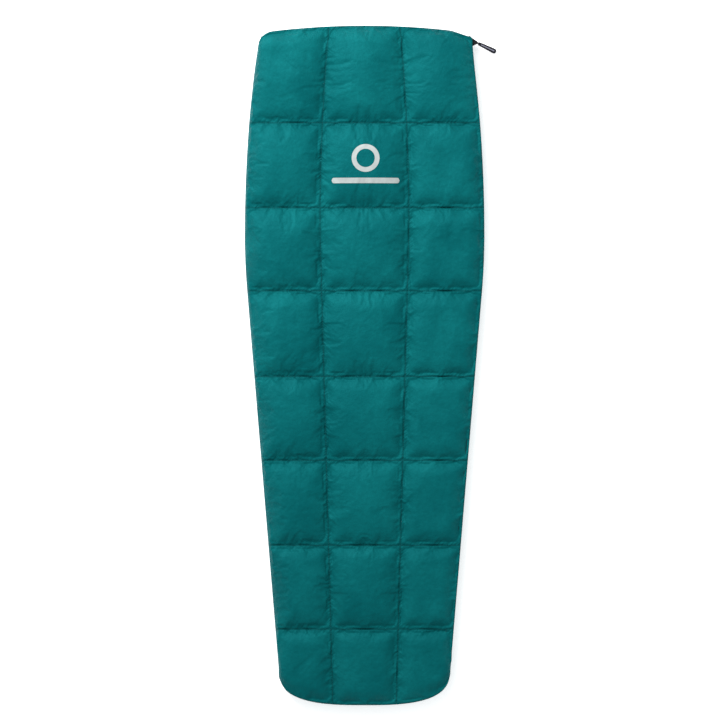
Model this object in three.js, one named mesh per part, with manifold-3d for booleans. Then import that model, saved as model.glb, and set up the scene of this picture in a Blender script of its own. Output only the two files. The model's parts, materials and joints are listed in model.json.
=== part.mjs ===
// A down camp quilt that closes into a tapered bag: two quilted layers joined by a fold down the left side,
// with a coil zip down the right side and round the foot. It lies flat and zipped, face up, head towards +Y.
// Millimetres. The origin is on the floor, on the centreline, under the middle of the fourth row of chambers.
// A station is a distance from the head end, so station s lies at y = ORIGIN_AT - s.
import * as THREE from "three";
import { mergeVertices } from "three/addons/utils/BufferGeometryUtils.js";
import Module from "manifold-3d";

const wasm = await Module();
wasm.setup();

// Outline
const LENGTH = 2000;
const SHOULDER = 706; // widest, edge to edge
const SHOULDER_AT = 615; // station of the widest place
const HEAD_FLARE_RADIUS = 4305; // side curve above the shoulder
const SHOULDER_RADIUS = 1950; // side curve below it, until it meets the taper
const TAPER = 0.0836; // each side's slope below the shoulder
const HEAD_CORNER = 35;
const ZIP_CORNER = 16; // the zip keeps the right head corner sharper
const HEAD_BOW = 21; // the hem's corners lie this far below its middle
const FOOT_ROUND = 100; // the foot is rounded off over this length
const ROUND_POWER = 2.9; // squareness of the rounded foot

// Quilting
const SEAMS = [285, 535, 780, 1032, 1279, 1529, 1776]; // stations of the cross seams
const LONG_SEAM = 131; // greatest distance of the long seams from the centreline
const LONG_SEAM_AT = 600; // its station
const LONG_SEAM_HEAD = 26; // they run in by this much at the head
const LONG_SEAM_FOOT = 38; // and by this much at the foot
const RAMP = 42; // a chamber rises from a seam to its full loft over this distance
const ORIGIN_AT = (SEAMS[2] + SEAMS[3]) / 2;

// Heights
const LOFT = 30; // thickness of each layer
const GAP = 8; // free height between the two liners
const MID = LOFT + GAP / 2; // height of the zip and of the fold's axis
const SEAM_RISE = 12; // the cloth lies this far from mid height along seams and edges
const SHELL_THICK = 1;
const LINER_THICK = 0.8;
const DOWN_THICK = 16;
const DOWN_INSET = 14; // each pad of down stays this far from its seams
const CLEAR = 0.4; // gap between neighbours

// Side fold
const FOLD_FROM = 42;
const FOLD_TO = 1894;
const FOLD_WIDTH = 14; // least width of the fold band
const AXIS_INSET = 24; // the fold's axis is this far inside the widest place
const AXIS_SLOPE = 0.037; // and runs in by this much per millimetre towards the foot

// Zip. Its side stretch is one long arc, and distances from mid height are measured across the chain.
const ZIP_RADIUS = 8870;
const ZIP_WIDEST = 326;
const ZIP_WIDEST_AT = 547;
const ZIP_FROM = 27;
const ZIP_TURN = 1865; // the zip leaves the side here and rounds the foot
const ZIP_FOOT = 119; // length of the rounded stretch
const ZIP_LAST_TURN = 128; // degrees round the foot at the zip's far end
const TAPE_THICK = 0.8;
const TAPE = [2.7, 10.2];
const COIL_THICK = 3;
const COIL = [0.9, 2.4];
const STOP = [0.5, 2.3];
const FACING_THICK = 0.6;

// Slider, in its own frame: x out from the chain, y towards the head, z up from mid height
const SLIDER_AT = 43.5;
const SLIDER_LENGTH = 16;
const SLIDER_HEIGHT = 11;
const SLIDER_TAIL = 8.6; // height of the narrow end
const PLATE = [1.9, 3.2]; // near and far face of each plate
const FLANGE = [0.8, 3.8]; // the flanges' distance from the tape, and from mid height
const DIVIDER = [3, 1]; // where the divider starts, and its height
const PIN_OUT = 6.2;
const PIN_RADIUS = 0.8;
const EAR = [2, 3.2]; // near and far face of the ears that hold the pin
const EAR_RADIUS = 1.8;

// Pull, in its own frame: x along it, y across it, z up. It runs from the pin through the tab's eyelet.
const SWING = -22.8; // the pull points this many degrees from +X
const DROOP = 27.5; // the grip hangs this many degrees below level
const TAB_REACH = 16.5; // from the pin to the eyelet
const TAB_THICK = 1.6;
const TAB_HEIGHT = 6.4;
const TAB_EYE_HEIGHT = 3;
const EYELET_RADIUS = 1.7;
const CORD_RADIUS = 1.1;
const CORD_SPREAD = 2.1; // each leg of the cord's loop is this far from its middle
const GRIP_FROM = 5; // from the eyelet
const GRIP_LENGTH = 62;
const GRIP_NECK = 10;
const GRIP_WIDTH = 14.5;
const GRIP_THICK = 4.6;
const CORD_DEPTH = 9; // the legs go this far into the grip
const INLAY = [7, 6, 3.4, 1.2]; // its distance from both ends of the grip, its width and its depth

// Hem, stops and draft tube
const HEM_WIDTH = 2.6;
const STOP_LENGTH = 5;
const COIL_FROM = ZIP_FROM + 1.5 * STOP_LENGTH + CLEAR;
const TUBE_FROM = 70;
const TUBE_SPAN = [-26, -5]; // from the chain
const TUBE_HALF = 3.4; // half its height

const radians = THREE.MathUtils.degToRad;

// Half width of the quilt before its corners are rounded.
const half = (s) => {
  const taperFrom = SHOULDER_AT + SHOULDER_RADIUS * TAPER;
  if (s < SHOULDER_AT) return SHOULDER / 2 - (SHOULDER_AT - s) ** 2 / (2 * HEAD_FLARE_RADIUS);
  if (s < taperFrom) return SHOULDER / 2 - (s - SHOULDER_AT) ** 2 / (2 * SHOULDER_RADIUS);
  return SHOULDER / 2 - (SHOULDER_RADIUS * TAPER ** 2) / 2 - TAPER * (s - taperFrom);
};

// Share of its width that the rounded foot keeps at a share t of its depth.
const footShare = (t) => (1 - THREE.MathUtils.clamp(t, 0, 1) ** ROUND_POWER) ** (1 / ROUND_POWER);

const rounded = (s, corner) => {
  const trimmed = corner - Math.sqrt(corner ** 2 - Math.max(corner - s, 0) ** 2);
  return (half(s) - trimmed) * footShare((s - LENGTH + FOOT_ROUND) / FOOT_ROUND);
};
const outline = (s) => rounded(s, HEAD_CORNER);
const zipEdge = (s) => rounded(s, ZIP_CORNER);

const zipArc = (s) => ZIP_WIDEST - ZIP_RADIUS + Math.sqrt(ZIP_RADIUS ** 2 - (s - ZIP_WIDEST_AT) ** 2);
const zipX = (s, inset) => (zipArc(s) - inset) * footShare((s - ZIP_TURN) / (ZIP_FOOT - inset));
const axisX = (s) => AXIS_INSET - SHOULDER / 2 + AXIS_SLOPE * (s - SHOULDER_AT);

// Left border of the two rigid layers, clear of the fold band where there is one.
const leftBorder = (s) =>
  s > FOLD_FROM && s < FOLD_TO ? Math.max(axisX(s) + 1, FOLD_WIDTH - outline(s)) : -outline(s);

// The head hem is bowed, and the bow fades out by the first cross seam.
const yOf = (s, x) => {
  const fade = Math.max(0, 1 - s / SEAMS[0]);
  return ORIGIN_AT - s - HEAD_BOW * (x / half(s)) ** 2 * fade;
};

const longSeam = (s) => {
  const towardsHead = LONG_SEAM_HEAD * (1 - s / LONG_SEAM_AT) ** 2;
  const towardsFoot = (LONG_SEAM_FOOT * (s - LONG_SEAM_AT)) / (LENGTH - LONG_SEAM_AT);
  return Math.min(LONG_SEAM - (s < LONG_SEAM_AT ? towardsHead : towardsFoot), 0.5 * outline(s));
};

function meshOf(points, faces) {
  const geometry = new THREE.BufferGeometry();
  geometry.setAttribute("position", new THREE.Float32BufferAttribute(points.flat(), 3));
  return geometry.setIndex(faces);
}

// A closed solid over rows of columns [x, y, top, bottom]. Rows run towards the foot, columns towards +X.
function slab(rows) {
  const across = rows[0].length;
  const points = rows.flat().flatMap(([x, y, top, bottom]) => [[x, y, top], [x, y, bottom]]);
  const faces = [];
  const quad = (a, b, c, d) => faces.push(a, b, c, a, c, d);
  const top = (i, j) => 2 * (i * across + j);
  const bottom = (i, j) => top(i, j) + 1;
  for (let i = 0; i + 1 < rows.length; i++) {
    for (let j = 0; j + 1 < across; j++) {
      quad(top(i, j), top(i + 1, j), top(i + 1, j + 1), top(i, j + 1));
      quad(bottom(i, j), bottom(i, j + 1), bottom(i + 1, j + 1), bottom(i + 1, j));
    }
    quad(top(i, 0), bottom(i, 0), bottom(i + 1, 0), top(i + 1, 0));
    const j = across - 1;
    quad(top(i + 1, j), bottom(i + 1, j), bottom(i, j), top(i, j));
  }
  const last = rows.length - 1;
  for (let j = 0; j + 1 < across; j++) {
    quad(top(0, j), top(0, j + 1), bottom(0, j + 1), bottom(0, j));
    quad(top(last, j + 1), top(last, j), bottom(last, j), bottom(last, j + 1));
  }
  return meshOf(points, faces);
}

// A closed solid through rings of points, each ring counterclockwise seen from the last ring's outside.
function loft(rings, section) {
  const around = rings[0].length;
  const faces = [];
  for (let i = 0; i + 1 < rings.length; i++) {
    for (let j = 0; j < around; j++) {
      const k = (j + 1) % around;
      const [a, b, c, d] = [i * around + j, (i + 1) * around + j, (i + 1) * around + k, i * around + k];
      faces.push(a, d, c, a, c, b);
    }
  }
  const cap = THREE.ShapeUtils.triangulateShape(section.map(([u, v]) => new THREE.Vector2(u, v)), []);
  const last = (rings.length - 1) * around;
  for (const [a, b, c] of cap) faces.push(a, c, b, last + a, last + b, last + c);
  return meshOf(rings.flat(), faces);
}

function solidOf(geometry) {
  const bare = geometry.clone();
  for (const name of ["normal", "uv"]) bare.deleteAttribute(name);
  const merged = mergeVertices(bare, 1e-4);
  const vertProperties = merged.attributes.position.array;
  const triVerts = new Uint32Array(merged.index.array);
  return new wasm.Manifold(new wasm.Mesh({ numProp: 3, vertProperties, triVerts }));
}

function geometryOf(solid) {
  const { vertProperties, triVerts } = solid.getMesh();
  const geometry = new THREE.BufferGeometry();
  geometry.setAttribute("position", new THREE.BufferAttribute(vertProperties, 3));
  return geometry.setIndex(new THREE.BufferAttribute(triVerts, 1));
}

const joined = (...parts) => geometryOf(parts.map(solidOf).reduce((a, b) => a.add(b)));
const cut = (body, ...tools) =>
  geometryOf(tools.map(solidOf).reduce((a, b) => a.subtract(b), solidOf(body)));

const colours = {
  shell: ["#0b6a6c", 0.55],
  liner: ["#3b4044", 0.6],
  down: ["#e8e6df", 0.95],
  tape: ["#101214", 0.8],
  coil: ["#16181a", 0.45],
  slider: ["#0c0d0e", 0.4],
  grip: ["#17171f", 0.5],
  inlay: ["#8f8f9c", 0.4],
};

const quilt = new THREE.Group();
function piece(name, geometry, colour, parent = quilt) {
  const [color, roughness] = colours[colour];
  const mesh = new THREE.Mesh(geometry, new THREE.MeshStandardMaterial({ color, roughness, metalness: 0 }));
  mesh.name = name;
  parent.add(mesh);
  return mesh;
}

// Each layer is drawn as heights above mid height, and the back one is turned over.
const layerZ = (side, near, far) => (side > 0 ? [MID + far, MID + near] : [MID - near, MID - far]);
const column = (side, s, x, near, far) => [x, yOf(s, x), ...layerZ(side, near, far)];

// Quilted stations: each has the share of the full loft that its chambers reach there.
const FOOT_EDGE = [[1955, 1], [1972, 0.62], [1984, 0.34], [1992, 0.14], [1997, 0.04], [1999.5, 0]];
const quiltRows = [[3, 0], [22, 0.5], [FOLD_FROM - 0.5, 0.95], [FOLD_FROM + 0.1, 0.95], [60, 1]];
for (const seam of SEAMS) quiltRows.push([seam - RAMP, 1], [seam, 0], [seam + RAMP, 1]);
quiltRows.push([FOLD_TO - 0.1, 1], [FOLD_TO + 0.5, 1], [1930, 1], ...FOOT_EDGE);

function shellRow(side, [s, share]) {
  const left = leftBorder(s);
  const right = zipEdge(s);
  const seam = longSeam(s);
  const inner = Math.min(RAMP, 0.42 * seam);
  const outer = Math.min(RAMP, 0.3 * (right - seam));
  const full = SEAM_RISE + (GAP / 2 + LOFT - SEAM_RISE) * share;
  const profile = [
    [left, SEAM_RISE],
    [left + outer, full],
    [-seam - outer, full],
    [-seam, SEAM_RISE],
    [-seam + inner, full],
    [seam - inner, full],
    [seam, SEAM_RISE],
    [seam + outer, full],
    [right - outer, full],
    [right, SEAM_RISE],
  ];
  return profile.map(([x, h]) => column(side, s, x, h - SHELL_THICK, h));
}

// Right border of what lies inside the zip. The zip doesn't follow the hem's bow.
const zipBorder = (s, inset) => Math.min(zipX(ORIGIN_AT - yOf(s, zipEdge(s)), inset), zipEdge(s) - 1);

function linerRow(side, s) {
  const near = GAP / 2;
  const right = zipBorder(s, LINER_INSET);
  const ends = [s > FOLD_TO ? -right : leftBorder(s), right];
  return ends.map((x) => column(side, s, x, near, near + LINER_THICK));
}
const LINER_INSET = PLATE[1] + 2 * CLEAR;
const LINER_END = ZIP_TURN + ZIP_FOOT - LINER_INSET;
const linerStations = quiltRows.map(([s]) => s).filter((s) => s < LINER_END - 20);
for (const left of [16, 8, 3, 0.5]) linerStations.push(LINER_END - left);

// One chamber's pad of down, or a whole row of three joined by thin webs under the long seams.
const PAD_NEAR = GAP / 2 + LINER_THICK + CLEAR;
const WEB = 2; // thickness at the pad's rim
const rowEnds = [0, ...SEAMS, LENGTH - 30];

function padColumns(side, s, share, from, to) {
  const rise = WEB + (DOWN_THICK - WEB) * share;
  const slope = Math.min(RAMP, 0.35 * (to - from));
  const profile = [[from, WEB], [from + slope, rise], [to - slope, rise], [to, WEB]];
  return profile.map(([x, h]) => column(side, s, x, PAD_NEAR, PAD_NEAR + h));
}

function chamberEdges(s) {
  const right = Math.min(zipBorder(s, DOWN_INSET / 2), zipEdge(s) - DOWN_INSET);
  const seam = longSeam(s);
  return [
    [leftBorder(s) + DOWN_INSET, -seam - DOWN_INSET],
    [DOWN_INSET - seam, seam - DOWN_INSET],
    [seam + DOWN_INSET, right],
  ];
}

function padStations(row) {
  const from = rowEnds[row] + DOWN_INSET;
  const to = rowEnds[row + 1] - DOWN_INSET;
  const stations = [[from, 0], [from + RAMP, 1]];
  if (from < FOLD_FROM) stations.splice(1, 0, [FOLD_FROM + 1, 0.7]);
  if (to > FOLD_TO) stations.push([FOLD_TO - 1, 1]);
  return [...stations, [to - RAMP, 1], [to, 0]];
}

const COLUMNS = ["left", "centre", "right"];
const pad = (side, row, k) =>
  slab(padStations(row).map(([s, share]) => padColumns(side, s, share, ...chamberEdges(s)[k])));
const padRow = (side, row) => {
  const columns = ([s, share]) => chamberEdges(s).flatMap((ends) => padColumns(side, s, share, ...ends));
  return slab(padStations(row).map(columns));
};

// A strip bent round the left edge from layer to layer, between two distances inside the outline.
const foldStations = [
  FOLD_FROM + CLEAR,
  ...quiltRows.map(([s]) => s).filter((s) => s > FOLD_FROM + 1 && s < FOLD_TO - 1),
  FOLD_TO - CLEAR,
];
function foldStrip(depth, rise, thick) {
  const bend = (d, h) => [[1, h], [0.55, h], [0.2, 0.8 * h], [0, 0.35 * h]].map(([u, v]) => [d, u, v]);
  const mirror = (upper) => [...upper, ...upper.map(([d, u, v]) => [d, u, -v]).reverse()];
  const outside = mirror(bend(depth, rise));
  const inside = mirror(bend(depth + thick, rise - thick)).reverse();
  const rings = foldStations.map((s) => {
    const border = leftBorder(s) - CLEAR;
    return [...outside, ...inside].map(([d, u, v]) => {
      const x = -outline(s) + d + u * (border + outline(s) - d);
      return [x, yOf(s, x), MID + v];
    });
  });
  return loft(rings, rings[0].map(([x, , z]) => [x, z]));
}

// The zip's line as [x, y], and a sweep of a section of [out, height] points along it.
const zipSide = (from, steps) =>
  Array.from({ length: steps + 1 }, (_, i) => {
    const s = from + ((ZIP_TURN - from) * i) / steps;
    return [zipArc(s), ORIGIN_AT - s];
  });
const footPoint = (turn, widthAt, from, depth) => {
  const c = Math.cos(radians(turn));
  const s = from + depth * Math.sin(radians(turn)) ** (2 / ROUND_POWER);
  return [Math.sign(c) * Math.abs(c) ** (2 / ROUND_POWER) * widthAt(s), ORIGIN_AT - s];
};
const footTurns = [6, 16, 27, 38, 49, 60, 71, 81, 90, 99, 109, 119, ZIP_LAST_TURN];
const zipLine = (from) => [
  ...zipSide(from, 22),
  ...footTurns.map((turn) => footPoint(turn, zipArc, ZIP_TURN, ZIP_FOOT)),
];

function sweep(line, section) {
  const rings = line.map(([x, y], i) => {
    const [x0, y0] = line[Math.max(i - 1, 0)];
    const [x1, y1] = line[Math.min(i + 1, line.length - 1)];
    const step = Math.hypot(x1 - x0, y1 - y0);
    return section.map(([out, z]) => [x + (out * (y0 - y1)) / step, y + (out * (x1 - x0)) / step, z]);
  });
  return loft(rings, section);
}
const strip = (line, out, [top, bottom]) =>
  sweep(line, [[-out, bottom], [out, bottom], [out, top], [-out, top]]);

// The shell's turned-in edge, from the outline to the zip tape.
const FACING_FROM = 60;
function facing(side) {
  const rows = zipSide(FACING_FROM, 22).map(([x, y]) => [x, y, zipEdge(ORIGIN_AT - y) - 1, y]);
  for (const turn of footTurns) {
    const outer = footPoint(turn, half, LENGTH - FOOT_ROUND, FOOT_ROUND - 1);
    rows.push([...footPoint(turn, zipArc, ZIP_TURN, ZIP_FOOT), ...outer]);
  }
  const rise = SEAM_RISE - SHELL_THICK - CLEAR;
  const heights = layerZ(side, rise - FACING_THICK, rise);
  return slab(
    rows.map(([x0, y0, x1, y1]) => {
      const away = Math.hypot(x1 - x0, y1 - y0);
      const near = [x0 + (1.1 * (x1 - x0)) / away, y0 + (1.1 * (y1 - y0)) / away];
      return [[...near, ...heights], [x1, y1, ...heights]];
    }),
  );
}

const hem = (side) => {
  const reach = half(0) - HEAD_CORNER;
  const shares = Array.from({ length: 13 }, (_, i) => i / 6 - 1);
  const row = (s) => shares.map((u) => column(side, s, u * reach, GAP / 2, SEAM_RISE));
  return slab([row(0), row(HEM_WIDTH)]);
};

function draftTube() {
  const [far, near] = TUBE_SPAN;
  const section = Array.from({ length: 10 }, (_, i) => {
    const turn = (i * Math.PI) / 5;
    return [(far + near) / 2 + ((near - far) / 2) * Math.cos(turn), MID + TUBE_HALF * Math.sin(turn)];
  });
  return sweep(zipSide(TUBE_FROM, 20), section);
}

const box = ([x0, x1], [y0, y1], [z0, z1]) =>
  new THREE.BoxGeometry(x1 - x0, y1 - y0, z1 - z0).translate((x0 + x1) / 2, (y0 + y1) / 2, (z0 + z1) / 2);

// An outline of [y, z] points, extruded from one x to another.
const plateYZ = (points, [from, to]) =>
  new THREE.ExtrudeGeometry(new THREE.Shape(points.map(([y, z]) => new THREE.Vector2(y, z))), {
    depth: to - from,
    bevelEnabled: false,
  })
    .applyMatrix4(
      new THREE.Matrix4().makeBasis(
        new THREE.Vector3(0, 1, 0),
        new THREE.Vector3(0, 0, 1),
        new THREE.Vector3(1, 0, 0),
      ),
    )
    .translate(from, 0, 0);

const rod = (radius, height, sides = 16) =>
  new THREE.CylinderGeometry(radius, radius, height, sides).rotateX(Math.PI / 2);

function sliderBody() {
  const [inner, outer] = PLATE;
  const [slot, channel] = FLANGE;
  const y = SLIDER_LENGTH / 2;
  const [z, tail] = [SLIDER_HEIGHT / 2, SLIDER_TAIL / 2];
  const outlineYZ = [[-y, -tail], [y - 3, -z], [y, -z + 2], [y, z - 2], [y - 3, z], [-y, tail]];
  const parts = [];
  for (const side of [1, -1]) {
    parts.push(plateYZ(outlineYZ, side > 0 ? [inner, outer] : [-outer, -inner]));
    for (const up of [1, -1]) {
      const across = side > 0 ? [slot, inner + 0.1] : [-inner - 0.1, -slot];
      const tall = up > 0 ? [channel, tail] : [-tail, -channel];
      parts.push(box(across, [-y, y - 3], tall));
    }
  }
  parts.push(box([-inner - 0.1, inner + 0.1], [DIVIDER[0], y], [-DIVIDER[1] / 2, DIVIDER[1] / 2]));
  for (const up of [1, -1]) {
    const at = (up * (EAR[0] + EAR[1])) / 2;
    parts.push(rod(EAR_RADIUS, EAR[1] - EAR[0]).translate(PIN_OUT, 0, at));
    const foot = up > 0 ? EAR : [-EAR[1], -EAR[0]];
    parts.push(box([outer - 0.1, PIN_OUT], [-EAR_RADIUS, EAR_RADIUS], foot));
  }
  parts.push(rod(PIN_RADIUS, 2 * EAR[0] + 0.4).translate(PIN_OUT, 0, 0));
  return joined(...parts);
}

function sliderTab() {
  const eye = PIN_RADIUS + 1.6;
  const [y, z] = [TAB_THICK / 2, TAB_HEIGHT / 2];
  const outlineXZ = new THREE.Shape();
  outlineXZ.moveTo(0, -TAB_EYE_HEIGHT / 2);
  outlineXZ.lineTo(eye + 1, -TAB_EYE_HEIGHT / 2);
  outlineXZ.lineTo(eye + 2.5, -z);
  outlineXZ.lineTo(TAB_REACH, -z);
  outlineXZ.absarc(TAB_REACH, 0, z, -Math.PI / 2, Math.PI / 2, false);
  outlineXZ.lineTo(eye + 2.5, z);
  outlineXZ.lineTo(eye + 1, TAB_EYE_HEIGHT / 2);
  outlineXZ.lineTo(0, TAB_EYE_HEIGHT / 2);
  const blade = new THREE.ExtrudeGeometry(outlineXZ, { depth: 2 * y, bevelEnabled: false, curveSegments: 8 })
    .translate(0, 0, -y)
    .rotateX(Math.PI / 2);
  const hub = rod(eye, TAB_EYE_HEIGHT);
  const bore = rod(PIN_RADIUS + CLEAR, TAB_HEIGHT);
  const eyelet = rod(EYELET_RADIUS, 4 * TAB_THICK, 20).rotateX(Math.PI / 2).translate(TAB_REACH, 0, 0);
  return cut(joined(blade, hub), bore, eyelet);
}

// The cord's loop passes through the eyelet, and both its legs end in the grip.
function cordLoop(radius) {
  const end = GRIP_FROM + CORD_DEPTH;
  const bend = [0.75, 1, 1.25].map((turn) => turn * Math.PI);
  const points = [
    new THREE.Vector3(end, CORD_SPREAD, 0),
    new THREE.Vector3(CORD_SPREAD, CORD_SPREAD, 0),
    ...bend.map((a) => new THREE.Vector3(CORD_SPREAD * (1 + Math.cos(a)), CORD_SPREAD * Math.sin(a), 0)),
    new THREE.Vector3(CORD_SPREAD, -CORD_SPREAD, 0),
    new THREE.Vector3(end, -CORD_SPREAD, 0),
  ];
  const extrudePath = new THREE.CatmullRomCurve3(points, false, "centripetal");
  const circle = new THREE.Shape().absarc(0, 0, radius, 0, 2 * Math.PI, false);
  return new THREE.ExtrudeGeometry(circle, { steps: 24, curveSegments: 4, extrudePath });
}

function pullOutline(from, to, startWidth, endWidth) {
  const shape = new THREE.Shape();
  const r = endWidth / 2;
  shape.moveTo(from, -startWidth / 2);
  shape.lineTo(to - r, -r);
  shape.absarc(to - r, 0, r, -Math.PI / 2, Math.PI / 2, false);
  shape.lineTo(from, startWidth / 2);
  return shape;
}

const inlayShape = () =>
  pullOutline(GRIP_FROM + INLAY[0], GRIP_FROM + GRIP_LENGTH - INLAY[1], INLAY[2], INLAY[2]);

function pullGrip() {
  const shape = pullOutline(GRIP_FROM, GRIP_FROM + GRIP_LENGTH, GRIP_NECK, GRIP_WIDTH);
  const plain = { bevelEnabled: false, curveSegments: 8 };
  const solid = new THREE.ExtrudeGeometry(shape, { ...plain, depth: GRIP_THICK });
  const groove = new THREE.ExtrudeGeometry(inlayShape(), { ...plain, depth: 4, curveSegments: 4 });
  return cut(
    solid.translate(0, 0, -GRIP_THICK / 2),
    groove.translate(0, 0, GRIP_THICK / 2 - INLAY[3]),
    cordLoop(CORD_RADIUS + CLEAR).scale(1.03, 1, 1),
  );
}

const pullInlay = () =>
  new THREE.ExtrudeGeometry(
    pullOutline(
      GRIP_FROM + INLAY[0] + CLEAR,
      GRIP_FROM + GRIP_LENGTH - INLAY[1] - CLEAR,
      INLAY[2] - 2 * CLEAR,
      INLAY[2] - 2 * CLEAR,
    ),
    { depth: INLAY[3], bevelEnabled: false, curveSegments: 4 },
  ).translate(0, 0, GRIP_THICK / 2 - INLAY[3] + CLEAR);

for (const [side, layer] of [[1, "front"], [-1, "back"]]) {
  piece(`${layer}_shell`, slab(quiltRows.map((row) => shellRow(side, row))), "shell");
  piece(`${layer}_liner`, slab(linerStations.map((s) => linerRow(side, s))), "liner");
  piece(`${layer}_head_hem`, hem(side), "shell");
  piece(`${layer}_zip_facing`, facing(side), "shell");
  piece(`${layer}_zip_tape`, strip(zipLine(ZIP_FROM), TAPE_THICK / 2, layerZ(side, ...TAPE)), "tape");
  piece(`${layer}_zip_coil`, strip(zipLine(COIL_FROM), COIL_THICK / 2, layerZ(side, ...COIL)), "coil");
}
for (let row = 0; row + 1 < rowEnds.length; row++) {
  COLUMNS.forEach((name, k) => piece(`front_down_${row + 1}_${name}`, pad(1, row, k), "down"));
  piece(`back_down_${row + 1}`, padRow(-1, row), "down");
}
piece("side_fold_shell", foldStrip(0, SEAM_RISE, SHELL_THICK), "shell");
piece("side_fold_down", foldStrip(2.8, SEAM_RISE - 2.4, 2), "down");
piece("side_fold_liner", foldStrip(6.5, GAP / 2 + LINER_THICK, LINER_THICK), "liner");
piece("draft_tube", draftTube(), "liner");

// A frame riding on the side zip at a station.
function zipFrame(s) {
  const frame = new THREE.Group();
  frame.position.set(zipArc(s), ORIGIN_AT - s, MID);
  frame.rotation.z = Math.asin((ZIP_WIDEST_AT - s) / ZIP_RADIUS);
  quilt.add(frame);
  return frame;
}
const topEnd = zipFrame(ZIP_FROM + STOP_LENGTH);
const stopThick = [-COIL_THICK / 2, COIL_THICK / 2];
const stopAlong = [-STOP_LENGTH / 2, STOP_LENGTH / 2];
piece("front_top_stop", box(stopThick, stopAlong, STOP), "slider", topEnd);
piece("back_top_stop", box(stopThick, stopAlong, [-STOP[1], -STOP[0]]), "slider", topEnd);

const slider = zipFrame(SLIDER_AT);
piece("zip_slider", sliderBody(), "slider", slider);
const tab = new THREE.Group();
tab.position.x = PIN_OUT;
tab.rotation.z = radians(SWING) - slider.rotation.z;
slider.add(tab);
piece("slider_tab", sliderTab(), "slider", tab);
const pull = new THREE.Group();
pull.position.x = TAB_REACH;
pull.rotation.y = radians(DROOP);
tab.add(pull);
piece("pull_cord", cordLoop(CORD_RADIUS), "grip", pull);
piece("pull_grip", pullGrip(), "grip", pull);
piece("pull_inlay", pullInlay(), "inlay", pull);

export default quilt;
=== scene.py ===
"""The looks of a down camp quilt: quilted cloth, liner, zip, slider and pull, around the fixed CAD frame.

Metres throughout. A station is a distance from the head end, as in the CAD source. A height called a rise is
counted from mid height outwards, so the back layer is the front one turned over.
"""

import json
import math

import bpy
import numpy as np
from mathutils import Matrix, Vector
from mathutils.bvhtree import BVHTree


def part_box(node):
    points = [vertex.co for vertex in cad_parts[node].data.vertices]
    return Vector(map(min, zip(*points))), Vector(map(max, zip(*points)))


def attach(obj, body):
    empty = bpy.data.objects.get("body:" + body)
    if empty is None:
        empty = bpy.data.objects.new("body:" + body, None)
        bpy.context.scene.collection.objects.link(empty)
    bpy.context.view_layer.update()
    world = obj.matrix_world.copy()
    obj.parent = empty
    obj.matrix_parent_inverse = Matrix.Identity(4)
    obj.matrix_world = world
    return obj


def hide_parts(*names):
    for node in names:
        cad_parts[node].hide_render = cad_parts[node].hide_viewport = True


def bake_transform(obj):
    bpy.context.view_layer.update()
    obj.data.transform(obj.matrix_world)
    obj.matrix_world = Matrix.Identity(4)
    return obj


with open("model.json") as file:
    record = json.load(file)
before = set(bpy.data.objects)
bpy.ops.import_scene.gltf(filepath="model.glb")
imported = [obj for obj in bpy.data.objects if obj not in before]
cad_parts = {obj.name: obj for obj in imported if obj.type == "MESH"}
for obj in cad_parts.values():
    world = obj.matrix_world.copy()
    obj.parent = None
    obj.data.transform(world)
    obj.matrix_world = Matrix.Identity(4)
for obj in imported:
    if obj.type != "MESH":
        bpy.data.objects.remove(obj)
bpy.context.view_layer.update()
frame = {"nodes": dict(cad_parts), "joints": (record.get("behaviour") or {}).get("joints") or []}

# The quilt's plan. Its place comes from the frame, and the other sizes are the CAD's.
HEAD_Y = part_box("front_head_hem")[1][1]
LENGTH = 2.0
HALF_WIDTH = 0.353
SHOULDER_AT = 0.615  # station of the greatest width
HEAD_FLARE_RADIUS = 4.305  # of the sides from the head to there
SHOULDER_RADIUS = 1.95  # of the sides just below it
TAPER = 0.0836  # slope of the straight sides below that
HEAD_CORNER = 0.035
ZIP_CORNER = 0.006  # the cloth's corner over the top of the zip
ZIP_CORNER_DIP = 0.012  # how far that corner is drawn down
HEAD_BOW = 0.021  # how far the head hem's ends lie below its middle
FOOT_ROUND = 0.1  # the foot is rounded off over this length
ROUND_POWER = 2.9  # squareness of the rounded foot
SEAMS = [0.285, 0.535, 0.78, 1.032, 1.279, 1.529, 1.776]  # stations of the cross seams
LONG_SEAM = 0.131  # from the middle to a long seam, at its widest
LONG_SEAM_AT = 0.6  # station of that
LONG_SEAM_HEAD = 0.026  # how much closer to the middle it is at the head
LONG_SEAM_FOOT = 0.038  # and at the foot
AXIS_INSET = 0.024  # from the outline to the hinge there
AXIS_SLOPE = 0.037  # the hinge runs in by this much per metre towards the foot
FOLD_WIDTH = 0.014  # least width of the fold band
ZIP_WIDEST = 0.326  # from the middle to the zip, at its widest
ZIP_WIDEST_AT = 0.547
ZIP_RADIUS = 8.87  # of the zip along the side
ZIP_TOP = 0.035
ZIP_TURN = 1.865  # the zip leaves the side here and rounds the foot
ZIP_FOOT = 0.119  # length of the rounded stretch
ZIP_LAST_TURN = 128  # degrees round the foot at the zip's far end
TAPE_CLEAR = 0.0009  # from the zip's line out to the facing's sewn edge
LINER_INSET = 0.0045  # from the zip's line in to the liner's edge

# Heights
MID = frame["joints"][0]["pos_m"][2]
LOFT_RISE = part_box("front_shell")[1][2] - MID
EDGE_RISE = 0.0105  # the shell along its edges and seams
TAPE_RISE = 0.0072  # the facing where it is sewn to the tape
CLOSED_RISE = 0.0004  # the facing beyond the zip's far end
LINER_SEAM_RISE = 0.0046
LINER_PUFF_RISE = 0.0016

CELL = 0.0055  # of the cloth grid before it is refined
DRAPE_STEPS = 18
DRAPE_CAP = 0.024  # the furthest that a point of the cloth may swell
OPEN_CLOTH = 0.03  # distance from a seam that is given to cloth with no seam near it


# ---------------------------------------------------------------- plan of the quilt


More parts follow.
